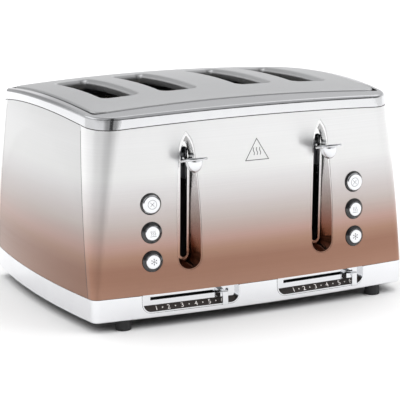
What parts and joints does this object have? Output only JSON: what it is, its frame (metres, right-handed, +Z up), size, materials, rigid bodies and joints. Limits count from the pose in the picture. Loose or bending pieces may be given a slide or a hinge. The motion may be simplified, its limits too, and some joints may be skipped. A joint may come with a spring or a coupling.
{
  "type": "pop up toaster",
  "caption": "Wide pop-up bread toaster with paired lift levers, push buttons, browning sliders, domed slotted top and pull-out crumb trays.",
  "frame": {"origin": "on the table under the middle of the toaster, lever knobs and tray pulls included", "axes": "+X to the right along the front face, +Y from front to back, +Z up"},
  "size_m": [0.329, 0.2978, 0.201],
  "materials": {
    "fade_panel": "brushed, grey fading to rose copper towards the bottom",
    "polished_chrome": "mirror polished",
    "brushed_plate": "fine brushed, satin",
    "black_collar": "gloss black",
    "scale_black": "gloss black with pale numerals",
    "rubber_black": "matte",
    "zinc_steel": "zinc plated sheet",
    "rod_steel": "ground steel",
    "mica": "matte mica board",
    "ribbon": "heat tinted ribbon",
    "guide_wire": "plated wire",
    "board_green": "solder mask",
    "magnet_coil": "enamelled copper coil on a steel core",
    "base_black": "moulded, matte",
    "screw_steel": "zinc plated"
  },
  "bodies": {
    "housing": {"front_wrap_panel": "fade_panel", "rear_wrap_panel": "fade_panel", "left_side_panel": "fade_panel", "right_side_panel": "fade_panel", "top_hood": "polished_chrome", "base_band": "polished_chrome", "left_lever_recess": "polished_chrome", "right_lever_recess": "polished_chrome", "left_slider_bezel": "polished_chrome", "right_slider_bezel": "polished_chrome", "left_button_rings": "black_collar", "left_scale_strip": "scale_black", "left_return_spring": "rod_steel", "left_control_board": "board_green", "right_button_rings": "black_collar", "right_scale_strip": "scale_black", "right_return_spring": "rod_steel", "right_control_board": "board_green", "slot_plate": "brushed_plate", "base_plate": "base_black", "rubber_feet": "rubber_black", "base_screws": "screw_steel", "front_chassis_plate": "zinc_steel", "rear_chassis_plate": "zinc_steel", "end_heat_shields": "zinc_steel", "heater_boards": "mica", "heating_ribbons": "ribbon", "guide_rods": "rod_steel", "rod_mounts": "zinc_steel", "holding_magnets": "magnet_coil", "slide_potentiometers": "base_black", "terminal_block": "base_black", "cord_gland": "rubber_black"},
    "left_lever": {"left_lever_knob": "polished_chrome", "left_carriage_bracket": "zinc_steel", "left_bread_racks": "zinc_steel"},
    "right_lever": {"right_lever_knob": "polished_chrome", "right_carriage_bracket": "zinc_steel", "right_bread_racks": "zinc_steel"},
    "slot1_left_guide": {"slot1_left_bread_guide": "guide_wire"},
    "slot1_right_guide": {"slot1_right_bread_guide": "guide_wire"},
    "slot2_left_guide": {"slot2_left_bread_guide": "guide_wire"},
    "slot2_right_guide": {"slot2_right_bread_guide": "guide_wire"},
    "slot3_left_guide": {"slot3_left_bread_guide": "guide_wire"},
    "slot3_right_guide": {"slot3_right_bread_guide": "guide_wire"},
    "slot4_left_guide": {"slot4_left_bread_guide": "guide_wire"},
    "slot4_right_guide": {"slot4_right_bread_guide": "guide_wire"},
    "left_cancel_button": {"left_cancel_button": "polished_chrome"},
    "left_reheat_button": {"left_reheat_button": "polished_chrome"},
    "left_defrost_button": {"left_defrost_button": "polished_chrome"},
    "left_slider": {"left_browning_slider": "polished_chrome"},
    "left_tray": {"left_crumb_tray": "zinc_steel"},
    "right_cancel_button": {"right_cancel_button": "polished_chrome"},
    "right_reheat_button": {"right_reheat_button": "polished_chrome"},
    "right_defrost_button": {"right_defrost_button": "polished_chrome"},
    "right_slider": {"right_browning_slider": "polished_chrome"},
    "right_tray": {"right_crumb_tray": "zinc_steel"}
  },
  "joints": [
    {"name": "left_lever_slide", "type": "slide", "parent": "housing", "child": "left_lever", "axis": [0, 0, 1], "range_m": [-0.08, 0.006], "stiffness_N_per_m": 150, "springref_m": 0.008, "deforming": ["left_return_spring"]},
    {"name": "right_lever_slide", "type": "slide", "parent": "housing", "child": "right_lever", "axis": [0, 0, 1], "range_m": [-0.08, 0.006], "stiffness_N_per_m": 150, "springref_m": 0.008, "deforming": ["right_return_spring"]},
    {"name": "slot1_left_guide_swing", "type": "hinge", "parent": "housing", "child": "slot1_left_guide", "pos_m": [-0.1147, 0, 0.046], "axis": [0, 1, 0], "range_deg": [-0.2, 2.3]},
    {"name": "slot1_right_guide_swing", "type": "hinge", "parent": "housing", "child": "slot1_right_guide", "pos_m": [-0.0787, 0, 0.046], "axis": [0, 1, 0], "range_deg": [-2.3, 0.2]},
    {"name": "slot2_left_guide_swing", "type": "hinge", "parent": "housing", "child": "slot2_left_guide", "pos_m": [-0.0563, 0, 0.046], "axis": [0, 1, 0], "range_deg": [-0.2, 2.3]},
    {"name": "slot2_right_guide_swing", "type": "hinge", "parent": "housing", "child": "slot2_right_guide", "pos_m": [-0.0203, 0, 0.046], "axis": [0, 1, 0], "range_deg": [-2.3, 0.2]},
    {"name": "slot3_left_guide_swing", "type": "hinge", "parent": "housing", "child": "slot3_left_guide", "pos_m": [0.0203, 0, 0.046], "axis": [0, 1, 0], "range_deg": [-0.2, 2.3]},
    {"name": "slot3_right_guide_swing", "type": "hinge", "parent": "housing", "child": "slot3_right_guide", "pos_m": [0.0563, 0, 0.046], "axis": [0, 1, 0], "range_deg": [-2.3, 0.2]},
    {"name": "slot4_left_guide_swing", "type": "hinge", "parent": "housing", "child": "slot4_left_guide", "pos_m": [0.0787, 0, 0.046], "axis": [0, 1, 0], "range_deg": [-0.2, 2.3]},
    {"name": "slot4_right_guide_swing", "type": "hinge", "parent": "housing", "child": "slot4_right_guide", "pos_m": [0.1147, 0, 0.046], "axis": [0, 1, 0], "range_deg": [-2.3, 0.2]},
    {"name": "left_cancel_press", "type": "slide", "parent": "housing", "child": "left_cancel_button", "axis": [0.0767, 0.9966, -0.0307], "range_m": [0, 0.0022], "stiffness_N_per_m": 350, "springref_m": -0.001},
    {"name": "left_reheat_press", "type": "slide", "parent": "housing", "child": "left_reheat_button", "axis": [0.0754, 0.9969, -0.0223], "range_m": [0, 0.0022], "stiffness_N_per_m": 350, "springref_m": -0.001},
    {"name": "left_defrost_press", "type": "slide", "parent": "housing", "child": "left_defrost_button", "axis": [0.0744, 0.9971, -0.0141], "range_m": [0, 0.0022], "stiffness_N_per_m": 350, "springref_m": -0.001},
    {"name": "left_browning_slide", "type": "slide", "parent": "housing", "child": "left_slider", "axis": [0.9989, -0.0476, 0], "range_m": [-0.0645, 0.0035]},
    {"name": "left_tray_slide", "type": "slide", "parent": "housing", "child": "left_tray", "axis": [0, 1, 0], "range_m": [0, 0.235]},
    {"name": "right_cancel_press", "type": "slide", "parent": "housing", "child": "right_cancel_button", "axis": [-0.0767, 0.9966, -0.0307], "range_m": [0, 0.0022], "stiffness_N_per_m": 350, "springref_m": -0.001},
    {"name": "right_reheat_press", "type": "slide", "parent": "housing", "child": "right_reheat_button", "axis": [-0.0754, 0.9969, -0.0223], "range_m": [0, 0.0022], "stiffness_N_per_m": 350, "springref_m": -0.001},
    {"name": "right_defrost_press", "type": "slide", "parent": "housing", "child": "right_defrost_button", "axis": [-0.0744, 0.9971, -0.0141], "range_m": [0, 0.0022], "stiffness_N_per_m": 350, "springref_m": -0.001},
    {"name": "right_browning_slide", "type": "slide", "parent": "housing", "child": "right_slider", "axis": [0.9989, 0.0476, 0], "range_m": [-0.0672, 0.0008]},
    {"name": "right_tray_slide", "type": "slide", "parent": "housing", "child": "right_tray", "axis": [0, 1, 0], "range_m": [0, 0.235]}
  ],
  "couplings": [
    {"joint": "slot1_left_guide_swing", "follows": "left_lever_slide", "rad_per_m": -0.48},
    {"joint": "slot1_right_guide_swing", "follows": "left_lever_slide", "rad_per_m": 0.48},
    {"joint": "slot2_left_guide_swing", "follows": "left_lever_slide", "rad_per_m": -0.48},
    {"joint": "slot2_right_guide_swing", "follows": "left_lever_slide", "rad_per_m": 0.48},
    {"joint": "slot3_left_guide_swing", "follows": "right_lever_slide", "rad_per_m": -0.48},
    {"joint": "slot3_right_guide_swing", "follows": "right_lever_slide", "rad_per_m": 0.48},
    {"joint": "slot4_left_guide_swing", "follows": "right_lever_slide", "rad_per_m": -0.48},
    {"joint": "slot4_right_guide_swing", "follows": "right_lever_slide", "rad_per_m": 0.48}
  ]
}
